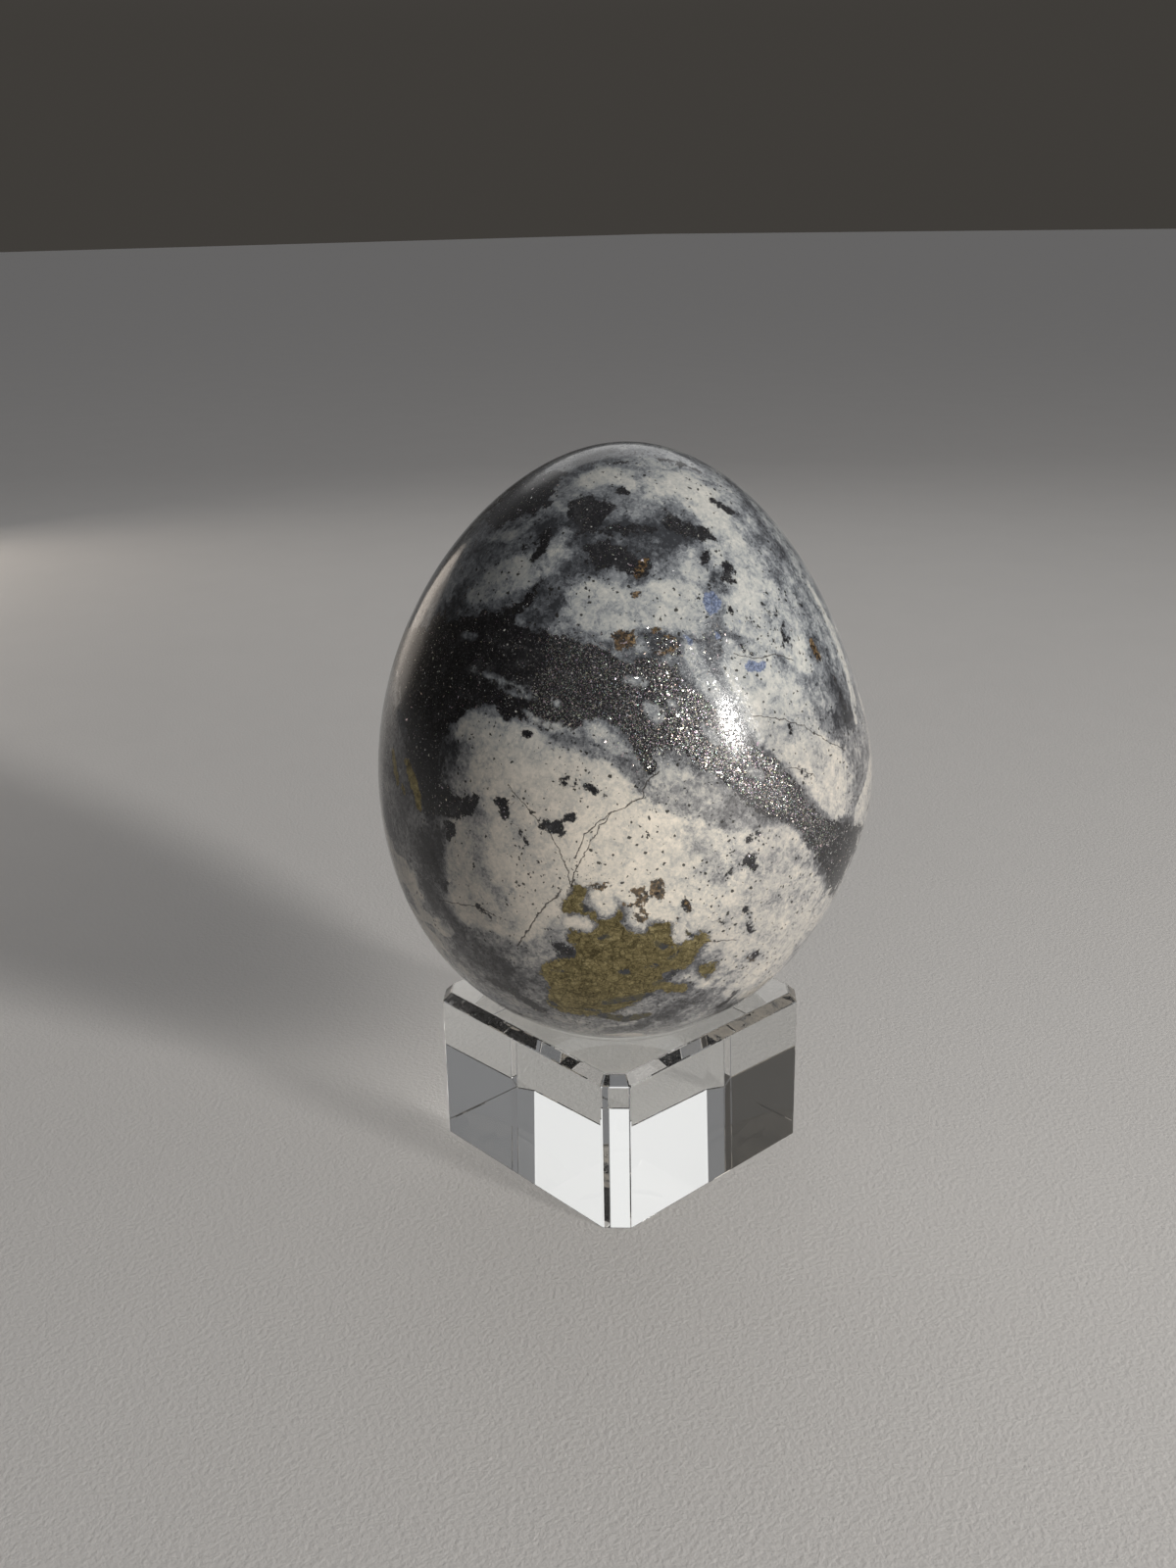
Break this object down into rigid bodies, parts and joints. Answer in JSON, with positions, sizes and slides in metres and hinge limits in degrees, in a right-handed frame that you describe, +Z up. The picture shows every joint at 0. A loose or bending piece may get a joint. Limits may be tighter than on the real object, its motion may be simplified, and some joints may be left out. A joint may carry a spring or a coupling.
{
  "type": "stone egg on stand",
  "caption": "Polished mottled stone egg standing blunt end down in the round dish of a square clear glass block with bevelled corners.",
  "frame": {"origin": "centre of the glass stand's flat underside, which rests on the table", "axes": "+Z up through the egg; +X and +Y square to the stand's upright sides. The picture looks at the upright corner between the +X and -Y sides, from azimuth 46.5 degrees."},
  "size_m": [0.0512, 0.0514, 0.078],
  "materials": {
    "clear_glass": "solid optical glass, polished on every face, colourless",
    "polished_stone": "polished white and grey quartz with charcoal bands, fine sparkle and brassy mineral patches"
  },
  "bodies": {
    "stand": {"glass_stand": "clear_glass"},
    "egg": {"stone_egg": "polished_stone"}
  },
  "joints": [
    {"name": "egg_lift", "type": "slide", "parent": "stand", "child": "egg", "axis": [0, 0, 1], "range_m": [0, 0.03]}
  ]
}
